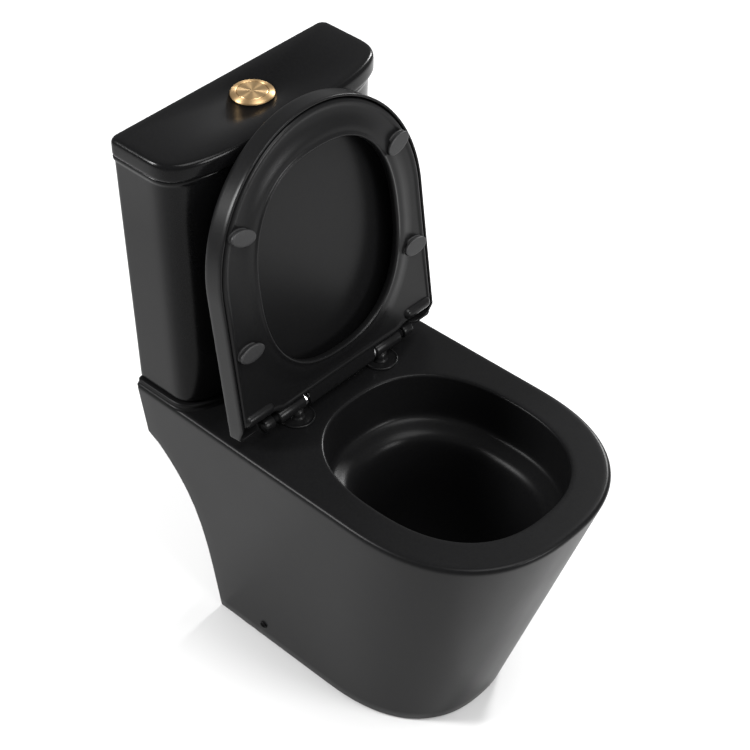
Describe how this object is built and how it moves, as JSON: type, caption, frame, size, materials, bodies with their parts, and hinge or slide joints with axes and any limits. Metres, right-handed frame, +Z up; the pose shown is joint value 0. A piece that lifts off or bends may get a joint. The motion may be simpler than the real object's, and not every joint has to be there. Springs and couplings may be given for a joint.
{
  "type": "close coupled toilet",
  "caption": "Black floor standing toilet with a close coupled cistern, hinged seat and lid, and a round dual flush button on the cistern lid.",
  "frame": {"origin": "middle of the whole object's plan at floor level", "axes": "+X to the user's left when seated, +Y towards the wall, +Z up; the front of the pan faces -Y"},
  "size_m": [0.3644, 0.5889, 0.8201],
  "materials": {
    "ceramic": "satin black glaze",
    "seat_plastic": "satin black moulding",
    "brass": "brushed",
    "chrome": "polished",
    "rubber": "matte",
    "buffer_rubber": "satin",
    "valve_plastic": "moulded white",
    "dark_plastic": "moulded dark",
    "steel": "plated"
  },
  "bodies": {
    "pan_and_cistern": {"button_flange": "brass", "button_locknut": "dark_plastic", "cistern_lid": "ceramic", "cistern_tank": "ceramic", "coupling_bolts": "brass", "coupling_plates": "steel", "coupling_washers": "rubber", "coupling_wing_nuts": "brass", "doughnut_gasket": "rubber", "fill_valve_cap": "dark_plastic", "fill_valve_riser": "valve_plastic", "fixing_studs": "steel", "floor_brackets": "steel", "hinge_barrels": "seat_plastic", "hinge_caps": "seat_plastic", "hinge_pins": "chrome", "inlet_locknut": "brass", "inlet_washer": "rubber", "pan": "ceramic", "side_bushes": "dark_plastic", "side_caps": "dark_plastic", "side_screws": "steel", "stud_washers": "rubber", "stud_wing_nuts": "dark_plastic", "valve_head": "dark_plastic", "valve_locknut": "dark_plastic", "valve_seat": "valve_plastic", "valve_tower": "valve_plastic", "valve_washer": "rubber"},
    "lid": {"seat_lid": "seat_plastic", "lid_lugs": "seat_plastic", "lid_buffers": "buffer_rubber"},
    "seat": {"seat_ring": "seat_plastic", "seat_buffers": "buffer_rubber"},
    "full_button": {"full_flush_button": "brass", "full_push_rod": "valve_plastic"},
    "half_button": {"half_flush_button": "brass", "half_push_rod": "valve_plastic"},
    "flush_lift": {"overflow_tube": "valve_plastic", "valve_seal": "rubber"},
    "fill_float": {"float_cup": "valve_plastic"}
  },
  "joints": [
    {"name": "lid_hinge", "type": "hinge", "parent": "pan_and_cistern", "child": "lid", "pos_m": [0, 0.1, 0.423], "axis": [1, 0, 0], "range_deg": [0, 97.2]},
    {"name": "seat_hinge", "type": "hinge", "parent": "lid", "child": "seat", "pos_m": [0, 0.1, 0.423], "axis": [-1, 0, 0], "range_deg": [-97.2, 0]},
    {"name": "full_flush_slide", "type": "slide", "parent": "pan_and_cistern", "child": "full_button", "axis": [0, 0, -1], "range_m": [0, 0.008], "stiffness_N_per_m": 300, "springref_m": -0.01},
    {"name": "half_flush_slide", "type": "slide", "parent": "pan_and_cistern", "child": "half_button", "axis": [0, 0, -1], "range_m": [0, 0.008], "stiffness_N_per_m": 300, "springref_m": -0.01},
    {"name": "flush_lift_slide", "type": "slide", "parent": "pan_and_cistern", "child": "flush_lift", "axis": [0, 0, 1], "range_m": [0, 0.016]},
    {"name": "float_slide", "type": "slide", "parent": "pan_and_cistern", "child": "fill_float", "axis": [0, 0, -1], "range_m": [0, 0.085]}
  ],
  "couplings": [
    {"joint": "flush_lift_slide", "follows": "full_flush_slide", "ratio": 2}
  ]
}
